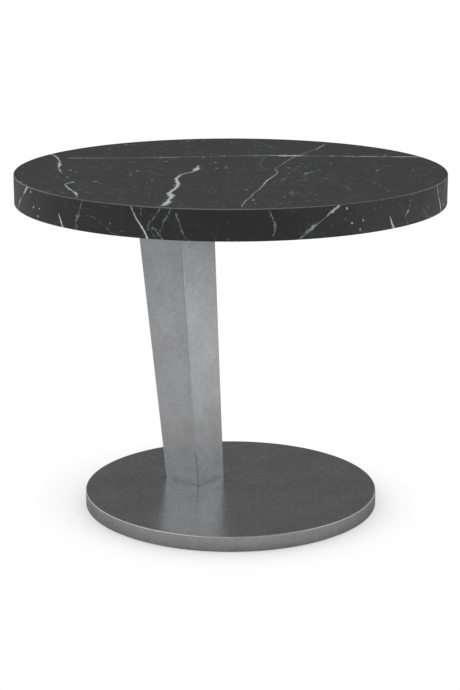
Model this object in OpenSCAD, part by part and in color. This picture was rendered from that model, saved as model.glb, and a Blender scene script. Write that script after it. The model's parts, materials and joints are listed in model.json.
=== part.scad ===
// Round pedestal table. A stone-faced disc top is carried off its centre by a leaning box column that
// widens upwards, and the column stands on a weighted steel disc with screw-out levelling glides.
// Millimetres, +Z up. The origin is on the axis of the top and base, at floor level.
// The column stands on the -X side and leans further towards -X.

/* [Top] */
// Diameter of the top
top_d = 762; // [700:1:900]
// Height of the table's upper surface above the floor
table_h = 617; // [560:1:760]
// Height of the stone edge that shows
edge_h = 52; // [52:1:60]
// Thickness of the stone slab
slab_t = 20; // [18:0.5:20]
// Radial width of the stone band that thickens the edge
band_w = 25; // [20:1:40]
// Thickness of the wooden core panel under the slab
core_t = 20; // [18:1:20]
// Radius of the rounded stone edges
stone_arris = 1.5; // [0.5:0.5:3]

/* [Column] */
// Side of the square column where it meets the base
foot_side = 77; // [72:1:90]
// Side of the square column at the underside of the top
head_side = 103; // [92:1:120]
// Distance of the column's foot from the table's axis
foot_offset = 84; // [75:1:100]
// Distance of the column's head from the table's axis
head_offset = 130.5; // [100:0.5:135]
// Thickness of the column's steel sheet
column_sheet_t = 3; // [2:0.5:4]
// Thickness of the plate welded inside the column's foot
foot_plate_t = 14; // [12:1:16]

/* [Head plate] */
// Length of the plate that carries the top, along X
plate_l = 360; // [340:1:400]
// Width of that plate, along Y
plate_w = 240; // [220:1:300]
// Thickness of that plate
plate_t = 6; // [5:0.5:6]
// Distance of the plate's centre from the table's axis, towards the column
plate_offset = 60; // [50:1:80]

/* [Base] */
// Diameter of the base
base_d = 533; // [500:1:600]
// Height of the base's rim
rim_h = 26; // [26:1:32]
// Gap between the rim and the floor
rim_gap = 3; // [2:0.5:4]
// Thickness of the base's steel cover
cover_t = 2; // [1.5:0.5:3]
// Radius of the cover's rounded upper edge
cover_arris = 1.5; // [0.5:0.5:3]
// Thickness of the cast iron weight inside the base
ballast_t = 20; // [20:1:22]

/* [Levelling glides] */
// Number of levelling glides
glide_count = 4; // [4:1:4]
// Radius of the circle that the glides stand on
glide_circle_r = 215; // [190:1:220]
// Diameter of a glide's pad
pad_d = 38; // [32:1:40]
// Height of a glide's pad
pad_h = 6; // [6:1:6]
// Height of a wound-in pad above the floor
pad_lift = 1; // [0.5:0.5:1]

/* [Hidden] */
// Gaps between pieces
FIT_GAP = 0.1;        // running clearance, and the glue line around pressed-in pieces
GLUE_GAP = 0.5;       // between the core panel and the stone band
SEAT_GAP = 1;         // between the weight and the cover's skirt
EPS = 0.01;           // overshoot of a cut past the face that it opens

// M8 screws that hold the top
M8_R = 4;
M8_LENGTH = 20;
M8_HEAD_R = 7;
M8_HEAD_H = 4.4;
M8_KEY_R = 2.9;       // across-corners radius of the key socket
M8_KEY_DEPTH = 2.6;
M8_HOLE_R = 4.5;
M8_WASHER_R = 8;
M8_WASHER_T = 1.6;
INSERT_R = 6;
INSERT_L = 13;
INSERT_HOLE_L = 15;
PLATE_BOLT_EDGE = 25; // from a bolt's centre to the plate's edge
PLATE_CORNER_R = 15;

// M10 screws that hold the column
M10_R = 5;
M10_LENGTH = 25;
M10_HEAD_R = 8;
M10_HEAD_H = 10;
M10_KEY_R = 4.6;
M10_KEY_DEPTH = 5;
M10_HOLE_R = 5.5;
M10_WASHER_R = 10;
M10_WASHER_T = 2;
COUNTERBORE_R = 11;
SHELF_T = 9;          // iron left above each counterbore
FOOT_BOLT_PITCH = 40;

// Glide details
STUD_R = 5;
STUD_TOP_GAP = 0.5;   // between a wound-in stud and the cover
HEX_R = 9.8;          // across-corners radius of the stud's spanner flats
HEX_H = 4;
HEX_GAP = 0.5;        // above and below the spanner flats when wound in
NECK_R = 3;
BUTTON_R = 4.5;       // disc on the stud's lower end that the pad snaps over
BUTTON_T = 2;
BUTTON_GAP = 0.3;
SOCKET_ROOF_T = 1.2;
PAD_ARRIS = 1;
POCKET_R = 21;
POCKET_DEPTH = 5;
BUSH_R = 8;

// Ring that the wound-in table rests on
RING_OUTER_INSET = 4.5; // from the rim to the ring
RING_W = 12;
RING_ARRIS = 1;

top_r = top_d / 2;
base_r = base_d / 2;
under_z = table_h - edge_h;              // lower edge of the stone
slab_z = table_h - slab_t;               // underside of the slab
core_z = slab_z - core_t;                // underside of the core panel
plate_z = core_z - plate_t;              // underside of the head plate
base_top_z = rim_gap + rim_h;
ballast_top_z = base_top_z - cover_t;
ballast_z = ballast_top_z - ballast_t;   // underside of the weight
shelf_z = ballast_top_z - SHELF_T;       // roof of the counterbores
pocket_z = ballast_z + POCKET_DEPTH;     // roof of the glide pockets
band_inner_r = top_r - band_w;
cover_inner_r = base_r - cover_t;

plate_bolts = [for (x = [-1, 0, 1], y = [-1, 1])
    [x * (plate_l / 2 - PLATE_BOLT_EDGE) - plate_offset, y * (plate_w / 2 - PLATE_BOLT_EDGE)]];
foot_bolts = [for (x = [-1, 1], y = [-1, 1])
    [x * FOOT_BOLT_PITCH / 2 - foot_offset, y * FOOT_BOLT_PITCH / 2]];
glide_places = [for (i = [0 : glide_count - 1])
    let (a = 360 / glide_count * (i + 0.5)) glide_circle_r * [cos(a), sin(a)]];

// How far up the column a height is: 0 at its foot, 1 at the underside of the top
function up(z) = (z - base_top_z) / (under_z - base_top_z);
function side_at(z) = foot_side + (head_side - foot_side) * up(z);
function centre_at(z) = -foot_offset - (head_offset - foot_offset) * up(z);

$fn = 96;

// Disc from z0 to z1 with its upper or lower outer edge rounded to radius a
module rounded_disc(r, z0, z1, a, upper = true) {
    rotate_extrude() {
        translate([0, z0]) square([r - a, z1 - z0]);
        translate([0, upper ? z0 : z0 + a]) square([r, z1 - z0 - a]);
        translate([r - a, upper ? z1 - a : z0 + a]) circle(r = a);
    }
}

// Cylinder from z0 to z1 at a place in plan
module rod(p, r, z0, z1) {
    translate([p[0], p[1], z0]) cylinder(r = r, h = z1 - z0);
}

// Hexagonal prism from z0 to z1 at a place in plan, r across its corners
module hexagon(p, r, z0, z1) {
    translate([p[0], p[1], z0]) cylinder(r = r, h = z1 - z0, $fn = 6);
}

module washer(p, r, hole_r, z0, t) {
    difference() {
        rod(p, r, z0, z0 + t);
        rod(p, hole_r, z0 - EPS, z0 + t + EPS);
    }
}

// Cap screw pointing up: its head's underside in use is at z, and its key socket opens downwards
module cap_screw(p, z, r, l, head_r, head_h, key_r, key_depth) {
    difference() {
        union() {
            rod(p, r, z, z + l);
            rod(p, head_r, z - head_h, z);
        }
        hexagon(p, key_r, z - head_h - EPS, z - head_h + key_depth);
    }
}

module rounded_plate(l, w, r, t) {
    linear_extrude(height = t) {
        square([l - 2 * r, w], center = true);
        square([l, w - 2 * r], center = true);
        for (x = [-1, 1], y = [-1, 1])
            translate([x * (l / 2 - r), y * (w / 2 - r)]) circle(r = r);
    }
}

// The column's outer form between two heights, each face moved in by an inset
module column_form(z0, z1, inset) {
    reach = 4 * head_side;
    intersection() {
        rotate([90, 0, 0])
            linear_extrude(height = reach, center = true)
                polygon([for (c = [[z0, -1], [z0, 1], [z1, 1], [z1, -1]])
                    [centre_at(c[0]) + c[1] * (side_at(c[0]) / 2 - inset), c[0]]]);
        rotate([90, 0, 90])
            linear_extrude(height = reach, center = true)
                polygon([for (c = [[z0, -1], [z0, 1], [z1, 1], [z1, -1]])
                    [c[1] * (side_at(c[0]) / 2 - inset), c[0]]]);
    }
}

// Stone slab that forms the whole upper surface
module marble_slab() {
    color([0.11, 0.11, 0.12]) rounded_disc(top_r, slab_z, table_h, stone_arris);
}

// Stone band bonded under the slab's rim
module marble_edge_band() {
    color([0.1, 0.1, 0.11])
        difference() {
            rounded_disc(top_r, under_z, slab_z, stone_arris, upper = false);
            rod([0, 0], band_inner_r, under_z - EPS, slab_z + EPS);
        }
}

// Plywood disc bonded under the slab, inside the band
module core_panel() {
    color([0.5, 0.38, 0.25])
        difference() {
            rod([0, 0], band_inner_r - GLUE_GAP, core_z, slab_z);
            for (p = plate_bolts) rod(p, INSERT_R + FIT_GAP, core_z - EPS, core_z + INSERT_HOLE_L);
        }
}

// Threaded inserts in the core panel
module top_inserts() {
    color([0.72, 0.58, 0.3])
        for (p = plate_bolts)
            difference() {
                rod(p, INSERT_R, core_z, core_z + INSERT_L);
                rod(p, M8_R + FIT_GAP, core_z - EPS, core_z + INSERT_L + EPS);
            }
}

// Steel plate welded on the column's head
module head_plate() {
    color([0.16, 0.16, 0.17])
        difference() {
            translate([-plate_offset, 0, plate_z]) rounded_plate(plate_l, plate_w, PLATE_CORNER_R, plate_t);
            for (p = plate_bolts) rod(p, M8_HOLE_R, plate_z - EPS, core_z + EPS);
        }
}

module top_bolts() {
    color([0.6, 0.61, 0.62])
        for (p = plate_bolts)
            cap_screw(p, plate_z - M8_WASHER_T, M8_R, M8_LENGTH, M8_HEAD_R, M8_HEAD_H, M8_KEY_R, M8_KEY_DEPTH);
}

module top_washers() {
    color([0.66, 0.67, 0.68])
        for (p = plate_bolts)
            washer(p, M8_WASHER_R, M8_HOLE_R, plate_z - M8_WASHER_T, M8_WASHER_T);
}

// Folded sheet column, open at both ends until it is welded to its plates
module column_shell() {
    color([0.56, 0.57, 0.59])
        difference() {
            column_form(base_top_z, plate_z, 0);
            column_form(base_top_z - 1, plate_z + 1, column_sheet_t);
        }
}

// Thick plate welded inside the column's foot, tapped for the base's screws
module foot_plate() {
    color([0.3, 0.3, 0.31])
        difference() {
            column_form(base_top_z, base_top_z + foot_plate_t, column_sheet_t + FIT_GAP);
            for (p = foot_bolts)
                rod(p, M10_R + FIT_GAP, base_top_z - EPS, base_top_z + foot_plate_t + EPS);
        }
}

// Steel disc with a turned-down skirt
module base_cover() {
    color([0.42, 0.43, 0.44])
        difference() {
            rounded_disc(base_r, rim_gap, base_top_z, cover_arris);
            rod([0, 0], cover_inner_r, rim_gap - EPS, ballast_top_z);
            for (p = foot_bolts) rod(p, M10_HOLE_R, ballast_top_z - EPS, base_top_z + EPS);
        }
}

// Cast iron weight that fills the cover
module base_ballast() {
    color([0.13, 0.13, 0.13])
        difference() {
            rod([0, 0], cover_inner_r - SEAT_GAP, ballast_z, ballast_top_z);
            for (p = foot_bolts) {
                rod(p, M10_HOLE_R, ballast_z - EPS, ballast_top_z + EPS);
                rod(p, COUNTERBORE_R, ballast_z - EPS, shelf_z);
            }
            for (p = glide_places) {
                rod(p, BUSH_R + FIT_GAP, ballast_z - EPS, ballast_top_z + EPS);
                rod(p, POCKET_R, ballast_z - EPS, pocket_z);
            }
        }
}

module base_bolts() {
    color([0.3, 0.3, 0.31])
        for (p = foot_bolts)
            cap_screw(p, shelf_z - M10_WASHER_T, M10_R, M10_LENGTH, M10_HEAD_R, M10_HEAD_H, M10_KEY_R, M10_KEY_DEPTH);
}

module base_washers() {
    color([0.66, 0.67, 0.68])
        for (p = foot_bolts)
            washer(p, M10_WASHER_R, M10_HOLE_R, shelf_z - M10_WASHER_T, M10_WASHER_T);
}

// Threaded bushes pressed into the weight for the glides' studs
module glide_bushes() {
    color([0.72, 0.58, 0.3])
        for (p = glide_places)
            difference() {
                rod(p, BUSH_R, pocket_z, ballast_top_z);
                rod(p, STUD_R + FIT_GAP, pocket_z - EPS, ballast_top_z + EPS);
            }
}

// Rubber ring under the weight's edge, which the table rests on while its glides are wound in
module floor_ring() {
    ring_r = base_r - RING_OUTER_INSET;
    color([0.05, 0.05, 0.05])
        difference() {
            rounded_disc(ring_r, 0, ballast_z, RING_ARRIS, upper = false);
            rod([0, 0], ring_r - RING_W, -EPS, ballast_z + EPS);
        }
}

// Swivelling pad, wound in, with a socket that snaps over its stud's button
module glide_pad(i) {
    p = glide_places[i];
    pad_top_z = pad_lift + pad_h;
    roof_z = pad_top_z - SOCKET_ROOF_T;
    color([0.08, 0.08, 0.08])
        difference() {
            translate([p[0], p[1], 0])
                rounded_disc(pad_d / 2, pad_lift, pad_top_z, PAD_ARRIS, upper = false);
            rod(p, BUTTON_R + BUTTON_GAP, roof_z - BUTTON_T - 2 * BUTTON_GAP, roof_z);
            rod(p, NECK_R + BUTTON_GAP, roof_z - EPS, pad_top_z + EPS);
        }
}

// Threaded stud, wound in, with spanner flats and the button that carries the pad
module glide_stud(i) {
    p = glide_places[i];
    hex_z = pad_lift + pad_h + HEX_GAP;
    button_top_z = pad_lift + pad_h - SOCKET_ROOF_T - BUTTON_GAP;
    color([0.7, 0.7, 0.72]) {
        rod(p, STUD_R, hex_z, ballast_top_z - STUD_TOP_GAP);
        hexagon(p, HEX_R, hex_z, hex_z + HEX_H);
        rod(p, NECK_R, button_top_z - BUTTON_T, hex_z + EPS);
        rod(p, BUTTON_R, button_top_z - BUTTON_T, button_top_z);
    }
}

marble_slab();
marble_edge_band();
core_panel();
top_inserts();
head_plate();
top_bolts();
top_washers();
column_shell();
foot_plate();
base_cover();
base_ballast();
base_bolts();
base_washers();
glide_bushes();
floor_ring();
glide_pad(0);  // glide_pad_1
glide_pad(1);  // glide_pad_2
glide_pad(2);  // glide_pad_3
glide_pad(3);  // glide_pad_4
glide_stud(0);  // glide_stud_1
glide_stud(1);  // glide_stud_2
glide_stud(2);  // glide_stud_3
glide_stud(3);  // glide_stud_4
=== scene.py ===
"""Round pedestal table: a black marble top, a leaning flared steel column and a weighted steel base."""

import json
import math

import bmesh
import bpy
from mathutils import Matrix, Vector


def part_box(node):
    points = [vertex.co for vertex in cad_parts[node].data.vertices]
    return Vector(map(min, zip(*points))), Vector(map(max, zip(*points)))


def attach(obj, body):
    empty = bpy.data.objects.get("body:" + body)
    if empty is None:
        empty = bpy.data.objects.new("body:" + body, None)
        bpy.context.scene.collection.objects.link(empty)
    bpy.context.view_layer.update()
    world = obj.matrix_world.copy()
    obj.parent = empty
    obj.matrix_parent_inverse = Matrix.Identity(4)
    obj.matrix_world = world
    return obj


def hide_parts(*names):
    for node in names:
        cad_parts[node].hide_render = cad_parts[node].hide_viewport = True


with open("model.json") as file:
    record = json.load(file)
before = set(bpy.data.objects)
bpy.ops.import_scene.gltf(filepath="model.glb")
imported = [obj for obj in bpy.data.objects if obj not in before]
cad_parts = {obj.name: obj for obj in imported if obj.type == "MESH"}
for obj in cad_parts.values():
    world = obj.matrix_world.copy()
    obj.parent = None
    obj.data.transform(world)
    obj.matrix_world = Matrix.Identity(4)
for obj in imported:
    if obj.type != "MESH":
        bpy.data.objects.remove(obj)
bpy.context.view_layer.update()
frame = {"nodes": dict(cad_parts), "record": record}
nodes = frame["nodes"]

MM = 0.001
TAU = 2 * math.pi

# Sizes of the real object, in millimetres.
TOP_RADIUS = 381
TOP_HEIGHT = 617
ARRIS = 2.2
SEAM_HEIGHT = 597
EDGE_BOTTOM = 565
BAND_INNER_RADIUS = 356
FOOT_SIDE, FOOT_CENTRE = 77, -84


# ---------------------------------------------------------------- shader graph helper


class Graph:
    """A material's or a world's node tree. Most methods add nodes and return their output."""

    def __init__(self, name, tree=None):
        self.material = None
        if tree is None:
            self.material = bpy.data.materials.new(name)
            self.material.use_nodes = True
            tree = self.material.node_tree
            tree.nodes.clear()
        self.tree = tree

    def add(self, kind, inputs=(), **settings):
        """A new node. inputs maps a socket to its value or to the output that feeds it."""
        node = self.tree.nodes.new(kind)
        for key, value in settings.items():
            setattr(node, key, value)
        for key, value in dict(inputs).items():
            self.feed(node.inputs[key], value)
        return node

    def feed(self, socket, value):
        if isinstance(value, bpy.types.NodeSocket):
            self.tree.links.new(value, socket)
        elif socket.type == "RGBA" and len(value) == 3:
            socket.default_value = (*value, 1)
        else:
            socket.default_value = value

    def math(self, operation, *values, clamp=False):
        node = self.add("ShaderNodeMath", operation=operation, use_clamp=clamp)
        for socket, value in zip(node.inputs, values):
            self.feed(socket, value)
        return node.outputs[0]

    def vector_math(self, operation, *values):
        node = self.add("ShaderNodeVectorMath", operation=operation)
        for socket, value in zip(node.inputs, values):
            self.feed(socket, value)
        return node.outputs["Value" if operation in ("DOT_PRODUCT", "LENGTH") else "Vector"]

    def scaled(self, vector, factor):
        node = self.add("ShaderNodeVectorMath", {"Vector": vector, "Scale": factor}, operation="SCALE")
        return node.outputs["Vector"]

    def noise(self, vector, size, detail=2.0, roughness=0.5, colour=False, **more):
        """Noise whose features are about size across, in the units of vector."""
        node = self.add(
            "ShaderNodeTexNoise",
            {"Vector": vector, "Scale": 1 / size, "Detail": detail, "Roughness": roughness, **more},
        )
        return node.outputs["Color" if colour else "Fac"]

    def spots(self, vector, size):
        """Scattered points about size apart: the distance to the nearest, and a random colour for each."""
        node = self.add("ShaderNodeTexVoronoi", {"Vector": vector, "Scale": 1 / size})
        return node.outputs["Distance"], node.outputs["Color"]

    def remap(self, value, low, high, to_low=0.0, to_high=1.0, smooth=False):
        node = self.add(
            "ShaderNodeMapRange",
            {"Value": value, "From Min": low, "From Max": high, "To Min": to_low, "To Max": to_high},
            interpolation_type="SMOOTHSTEP" if smooth else "LINEAR",
        )
        return node.outputs["Result"]

    def mix(self, factor, first, second):
        """Mix of two colours."""
        node = self.add("ShaderNodeMix", data_type="RGBA")
        for index, value in ((0, factor), (6, first), (7, second)):
            self.feed(node.inputs[index], value)
        return node.outputs[2]

    def curve(self, value, points):
        """A smooth curve through points, both coordinates from 0 to 1."""
        node = self.add("ShaderNodeFloatCurve", {"Value": value})
        line = node.mapping.curves[0]
        for _ in range(len(points) - 2):
            line.points.new(0.5, 0.5)
        for point, place in zip(line.points, points):
            point.location = place
        node.mapping.update()
        return node.outputs[0]

    def split(self, vector):
        return self.add("ShaderNodeSeparateXYZ", {"Vector": vector}).outputs

    def join(self, x, y, z):
        return self.add("ShaderNodeCombineXYZ", {"X": x, "Y": y, "Z": z}).outputs[0]

    def millimetres(self):
        """The place on the object, in its own frame, in millimetres."""
        place = self.add("ShaderNodeTexCoord").outputs["Object"]
        return self.scaled(place, 1000)

    def centred(self, value):
        """Noise spread from -1 to 1 about its middle."""
        return self.remap(value, 0.3, 0.7, -1, 1)

    def strokes(self, vector, width, stretch, turns):
        """Short strokes about width across, in one direction for each turn (radians)."""
        total = None
        for turn in turns:
            mapping = self.add(
                "ShaderNodeMapping",
                {"Vector": vector, "Rotation": (turn, turn, turn), "Scale": (1, stretch, 1)},
            )
            stroke = self.centred(self.noise(mapping.outputs[0], width, 3, 0.6))
            total = stroke if total is None else self.math("ADD", total, stroke)
        return total

    def facing_up(self):
        """How far the surface faces up, from -1 to 1, in the object's own frame."""
        return self.split(self.add("ShaderNodeTexCoord").outputs["Normal"])["Z"]

    def on_arris(self, facing_up, start, full, end):
        """1 on a rounded edge between an upright side and a level top, 0 on both of them."""
        rising = self.remap(facing_up, start, full, smooth=True)
        return self.math("MULTIPLY", rising, self.remap(facing_up, end, 0.99, 1, 0, smooth=True))

    def bump(self, height, distance, strength):
        """distance is what a height of 1 stands for, in millimetres."""
        node = self.add(
            "ShaderNodeBump", {"Height": height, "Distance": distance * MM, "Strength": strength}
        )
        return node.outputs[0]

    def surface(self, **inputs):
        """The material's shader, given its input values by name with _ for a space."""
        named = {key.replace("_", " "): value for key, value in inputs.items()}
        shader = self.add("ShaderNodeBsdfPrincipled", named)
        out = self.add("ShaderNodeOutputMaterial")
        self.tree.links.new(shader.outputs[0], out.inputs["Surface"])
        return self.material


# ---------------------------------------------------------------- marble

MARBLE_BASE = (0.0240, 0.0240, 0.0244)
MARBLE_SPECULAR = 0.48
# The colour of the top's rounded arris: a painted highlight, paler than the stone.
ARRIS_PAINTED_HIGHLIGHT = (0.105, 0.105, 0.106)
BEDDING_ANGLE = math.radians(38.8)

# Each kind of vein has a colour on the top and a lighter one on the edge, painted lighter as painted light
# for the upright edge.
WISP_GREEN, EDGE_GREEN = (0.115, 0.140, 0.132), (0.23, 0.28, 0.26)
VEIN_BLUE, EDGE_BLUE = (0.38, 0.43, 0.47), (0.56, 0.63, 0.68)
VEIN_WHITE, EDGE_WHITE = (0.50, 0.54, 0.56), (0.86, 0.91, 0.93)
VEIN_TINTS = ((WISP_GREEN, EDGE_GREEN), (VEIN_BLUE, EDGE_BLUE), (VEIN_WHITE, EDGE_WHITE))

# How much lighter the plain stone is painted on the edge, as painted light for the upright edge, and how
# strong the random specks are, where the top has 1.
EDGE_PAINTED_LIGHTER = 1.6
EDGE_SPECKS = 0.12

# Green streaks along the stone's bedding: size (mm), the noise level they start at,
# the size of their patches (mm), the noise level those start at, strength.
BEDDING_STREAKS = ((5.5, 0.635, 70, 0.50, 0.85), (3.2, 0.65, 38, 0.53, 0.70))
# Random white specks: spacing (mm), the share of them left out, strength.
SPECKS = ((34, 0.66, 0.75), (15, 0.90, 0.5), (9, 0.94, 0.25))

QUARTER_TURN = 90
EDGE_MM_PER_DEGREE = math.radians(1) * TOP_RADIUS

# The veins of the top. Each point is x, y, half width (all in millimetres) and strength from 0 to 1.
TOP_VEINS = (
    (
        VEIN_WHITE,
        [
            (-76, 2, 0.8, 0.5), (-62, -16, 2.6, 0.9), (-50, -35, 4.6, 1.0), (-40, -56, 2.6, 0.7),
            (-38, -80, 3.2, 0.6), (-32, -102, 2.4, 0.75), (-18, -128, 2.6, 1.0), (0, -150, 2.8, 1.0),
            (37, -195, 3.2, 1.0), (50, -220, 2.6, 1.0), (62, -245, 3.0, 1.0), (80, -262, 5.0, 1.0),
            (92, -278, 3.6, 1.0), (106, -300, 2.8, 1.0), (120, -322, 4.8, 1.0), (128, -348, 2.4, 0.9),
        ],
    ),
    (
        VEIN_WHITE,
        [
            (-42, 352, 0.6, 0.4), (-28, 318, 1.7, 0.65), (-11, 255, 1.1, 0.4), (7, 183, 1.3, 0.6),
            (17, 150, 1.2, 0.5), (37, 105, 0.8, 0.4), (54, 60, 0.9, 0.35), (66, 44, 1.4, 0.5),
            (78, 34, 1.2, 0.5), (99, -5, 1.3, 0.75), (124, -64, 1.4, 0.9), (144, -99, 1.2, 0.75),
            (174, -160, 1.0, 0.6), (214, -242, 1.0, 0.6), (237, -280, 0.8, 0.45),
        ],
    ),
    (
        VEIN_BLUE,
        [
            (194, 333, 5, 0.40), (115, 278, 5, 0.65), (60, 240, 5, 0.45), (24, 216, 4, 0.35),
            (-8, 194, 7, 0.90), (-48, 166, 6, 0.50), (-102, 116, 3, 0.20), (-150, 66, 3, 0.20),
            (-176, 38, 5, 0.50), (-205, 12, 3, 0.28), (-240, -18, 3, 0.20), (-275, -46, 4, 0.36),
            (-318, -80, 5, 0.42),
        ],
    ),
    (
        VEIN_WHITE,
        [
            (-373, -64, 1.6, 0.7), (-328, -93, 2.2, 0.8), (-300, -119, 1.8, 0.7), (-279, -141, 3.0, 1.0),
            (-255, -169, 1.6, 0.7), (-242, -182, 1.2, 0.4), (-233, -189, 1.8, 0.8), (-222, -199, 0.8, 0.1),
        ],
    ),
    (
        VEIN_WHITE,
        [
            (-130, -289, 1.2, 0.6), (-108, -307, 1.5, 0.8), (-85, -325, 2.0, 0.9), (-75, -331, 1.1, 0.6),
            (-66, -335, 2.2, 0.9), (-51, -347, 2.6, 1.0), (-40, -358, 1.2, 0.5), (-29, -370, 1.5, 0.6),
        ],
    ),
    (VEIN_WHITE, [(-130, -290, 1.4, 0.6), (-131, -277, 2.2, 0.9), (-133, -263, 1.8, 1.0)]),
    (
        WISP_GREEN,
        [
            (-200, 328, 2, 0.5), (-141, 281, 1.6, 0.45), (-101, 258, 2.4, 0.8), (-71, 236, 1.6, 0.6),
        ],
    ),
    (
        WISP_GREEN,
        [
            (-37, 150, 2.5, 0.5), (-11, 106, 2.0, 0.6), (19, 62, 2.4, 0.5), (58, 44, 1.8, 0.5),
        ],
    ),
    (
        WISP_GREEN,
        [
            (126, 82, 2.0, 0.4), (133, 50, 3.0, 0.9), (142, 22, 2.0, 0.5), (164, -4, 3.0, 0.6),
            (160, -30, 2.0, 0.7),
        ],
    ),
    (
        WISP_GREEN,
        [
            (100, -6, 2.0, 0.6), (118, 4, 3.0, 0.5), (132, -24, 3.0, 0.6), (150, -52, 2.0, 0.4),
        ],
    ),
    (
        WISP_GREEN,
        [
            (250, -14, 2.4, 0.6), (264, -24, 2.2, 0.5), (276, -38, 2.0, 0.6), (286, -54, 2.0, 0.4),
        ],
    ),
    (
        WISP_GREEN,
        [
            (206, -104, 1.6, 0.4), (222, -124, 2.6, 0.9), (238, -146, 1.6, 0.5),
        ],
    ),
)

# The veins of the edge, which repeat each quarter turn.
# Each point is the angle (degrees), height and half width (mm) and strength. A strength above 1 makes
# the vein's solid core wider.
EDGE_VEINS = (
    (
        EDGE_BLUE,
        [
            (64.8, 618, 1.9, 1.25), (63.0, 609, 2.2, 1.2), (61.6, 602, 1.4, 0.9), (60.4, 596, 0.8, 0.4),
            (59.2, 591, 1.4, 0.45), (57.6, 585, 2.3, 0.7), (56.5, 579, 2.5, 0.6), (55.3, 572, 1.6, 0.5),
            (54.3, 567, 1.5, 0.5), (53.9, 563, 1.2, 0.4),
        ],
    ),
    (EDGE_WHITE, [(64.9, 618, 1.3, 0.7), (63.2, 609, 1.5, 0.7), (61.9, 602, 0.7, 0.3)]),
    (EDGE_WHITE, [(58.6, 588, 0.6, 0.2), (57.6, 584, 1.2, 0.6), (56.8, 580, 0.8, 0.3)]),
    (
        EDGE_WHITE,
        [
            (80.2, 587, 0.8, 0.7), (80.7, 579, 1.2, 1.1), (81.2, 572, 1.6, 1.2), (81.8, 564, 1.6, 1.2),
        ],
    ),
    (
        EDGE_GREEN,
        [
            (89.4, 618, 0.7, 1.0), (88.2, 605, 0.9, 1.3), (87.7, 597, 0.7, 1.1), (87.5, 590, 1.6, 1.7),
            (86.4, 580, 1.0, 1.5), (87.0, 570, 1.0, 1.4), (86.6, 564, 0.6, 1.0),
        ],
    ),
    (
        EDGE_WHITE,
        [
            (13.2, 618, 1.0, 0.8), (13.7, 607, 1.0, 0.9), (14.7, 595, 1.0, 0.9), (15.4, 589, 1.2, 1.1),
            (16.4, 579, 1.5, 1.3), (17.4, 564, 1.4, 1.2),
        ],
    ),
    (
        EDGE_GREEN,
        [
            (20.6, 618, 0.6, 1.0), (20.2, 610, 0.8, 1.1), (19.4, 602, 0.8, 1.2), (18.2, 592, 0.8, 1.1),
            (17.6, 584, 0.7, 1.0), (18.6, 576, 1.0, 1.2), (19.3, 570, 0.9, 1.3), (20.6, 564, 0.8, 1.0),
        ],
    ),
    (
        EDGE_GREEN,
        [
            (17.9, 584, 0.7, 1.1), (19.4, 580, 1.1, 1.2), (20.4, 573, 0.9, 1.2), (21.6, 566, 0.7, 1.0),
        ],
    ),
    (
        EDGE_GREEN,
        [
            (23.2, 616, 1.3, 1.2), (23.0, 608, 1.0, 1.2), (22.0, 598, 0.8, 1.2), (21.2, 590, 0.9, 1.3),
            (21.0, 580, 0.8, 1.1), (21.0, 564, 0.8, 1.1),
        ],
    ),
    (
        EDGE_GREEN,
        [
            (24.9, 613, 0.9, 1.1), (24.6, 604, 1.2, 1.2), (25.3, 595, 0.8, 1.2), (26.0, 584, 0.8, 1.2),
            (26.4, 574, 0.9, 1.0), (28.9, 564, 0.9, 1.0),
        ],
    ),
    (EDGE_GREEN, [(15.6, 613, 0.8, 1.0), (15.9, 604, 0.9, 1.0), (16.2, 597, 0.7, 0.9)]),
    (
        EDGE_GREEN,
        [
            (46.9, 613, 0.6, 1.1), (47.6, 600, 0.8, 1.3), (48.1, 592, 0.6, 1.2), (48.4, 585, 0.7, 1.4),
            (47.6, 576, 1.0, 1.4),
        ],
    ),
    (
        EDGE_GREEN,
        [
            (3.0, 588, 0.6, 0.8), (5.4, 580, 0.6, 0.9), (7.4, 570, 0.6, 0.8), (9.8, 566, 0.6, 0.8),
        ],
    ),
)

# Small pale crystals on the edge: angle (degrees), height (mm), radius (mm), strength.
EDGE_FLECKS = (
    (66.6, 609.5, 2.5, 1.0), (68.1, 585.0, 2.4, 1.0), (71.4, 587.0, 2.0, 0.9), (70.6, 573.0, 2.7, 0.8),
    (7.4, 584.5, 1.6, 0.65), (69.8, 600.0, 1.2, 0.30), (86.9, 589.0, 2.0, 0.35), (47.7, 574.0, 1.8, 0.3),
)

# Small pale crystals on the top: x, y (mm), radius (mm), strength.
TOP_FLECKS = (
    (-213, -207, 2.6, 0.9), (-176, -234, 3.0, 0.8),
    (-121, -112, 3.5, 0.94), (-106, -238, 4.1, 0.77), (-148, 2, 3.5, 0.85), (-340, 112, 4.1, 0.59),
    (-276, 222, 4.7, 0.59), (-128, 82, 4.1, 0.68), (-70, 46, 3.5, 0.77), (70, 78, 4.1, 0.59),
    (211, 148, 4.1, 0.77), (-222, -176, 4.1, 0.77), (-204, -320, 4.1, 0.68),
    (-176, -338, 4.1, 0.95), (212, -216, 3.5, 0.94), (-330, 50, 3.5, 0.59), (146, -148, 3.5, 0.59),
    (-24, 18, 4.1, 0.59), (-28, -4, 4.1, 0.59), (-104, 115, 4.1, 0.68), (128, 50, 4.1, 0.77),
)


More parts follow.
